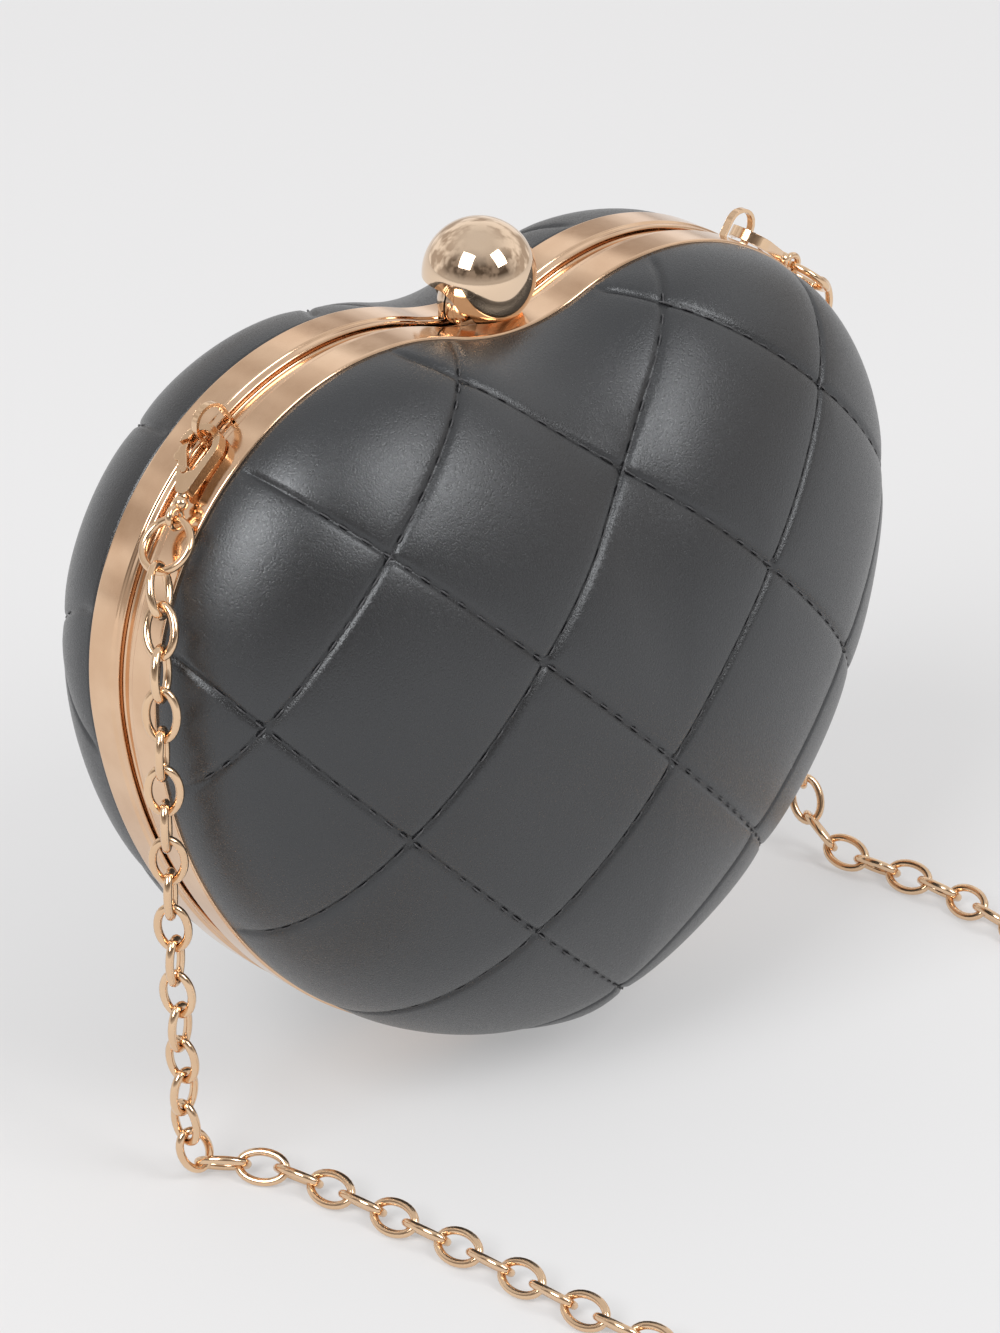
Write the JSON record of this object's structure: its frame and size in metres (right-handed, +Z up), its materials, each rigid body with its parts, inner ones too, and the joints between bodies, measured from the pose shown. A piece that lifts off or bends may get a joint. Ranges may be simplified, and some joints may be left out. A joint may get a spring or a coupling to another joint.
{
  "type": "heart shaped purse",
  "caption": "Heart shaped hard case purse with two quilted domed halves, metal frames hinged under the tip, a ball clasp in the cleft and a clip-on chain strap.",
  "frame": {"origin": "under the hinge at the heart's tip, on the surface it stands on, in the plane where the halves meet", "axes": "+Z up, +X across the heart to the wearer's right in the picture, -Y out of the front half"},
  "size_m": [0.1643, 0.2084, 0.141],
  "materials": {
    "leather": "satin grained charcoal leather over thin foam",
    "shell": "plain moulded shell, hidden between cover and lining",
    "lining": "plain woven lining",
    "frame_metal": "polished pale rose gold plate",
    "clasp_metal": "mirror polished pale gold plate",
    "strap_metal": "polished light gold plate"
  },
  "bodies": {
    "back": {"back_frame": "frame_metal", "back_shell": "shell", "back_cover": "leather", "back_lining": "lining", "back_hinge_leaf": "frame_metal", "hinge_pin": "frame_metal", "clasp_back_lug": "clasp_metal", "left_eyelet": "strap_metal", "right_eyelet": "strap_metal", "left_claw_body": "strap_metal", "left_claw_rivet": "strap_metal", "left_swivel": "strap_metal", "left_ring": "strap_metal", "right_claw_body": "strap_metal", "right_claw_rivet": "strap_metal", "right_swivel": "strap_metal", "right_ring": "strap_metal", "left_hanging_chain": "strap_metal", "left_floor_chain": "strap_metal", "loop_chain": "strap_metal", "right_floor_chain": "strap_metal", "right_hanging_chain": "strap_metal"},
    "front": {"front_frame": "frame_metal", "front_shell": "shell", "front_cover": "leather", "front_lining": "lining", "front_hinge_leaf": "frame_metal", "clasp_front_lug": "clasp_metal", "clasp_pin": "frame_metal"},
    "clasp": {"clasp_ball": "clasp_metal"},
    "left_lever": {"left_claw_lever": "strap_metal"},
    "right_lever": {"right_claw_lever": "strap_metal"}
  },
  "joints": [
    {"name": "lid_hinge", "type": "hinge", "parent": "back", "child": "front", "pos_m": [0, 0, 0.0014], "axis": [1, 0, 0], "range_deg": [0, 50]},
    {"name": "clasp_tilt", "type": "hinge", "parent": "front", "child": "clasp", "pos_m": [-0.0036, -0.00175, 0.12825], "axis": [1, 0, 0], "range_deg": [0, 15], "stiffness_Nm_per_rad": 0.02},
    {"name": "left_trigger", "type": "hinge", "parent": "back", "child": "left_lever", "pos_m": [-0.06214, -0.00158, 0.1177], "axis": [0.6448, 0.034, -0.7636], "range_deg": [0, 25], "stiffness_Nm_per_rad": 0.0005},
    {"name": "right_trigger", "type": "hinge", "parent": "back", "child": "right_lever", "pos_m": [0.06256, 0.0009, 0.11804], "axis": [0.5948, 0, 0.8039], "range_deg": [0, 25], "stiffness_Nm_per_rad": 0.0005}
  ]
}
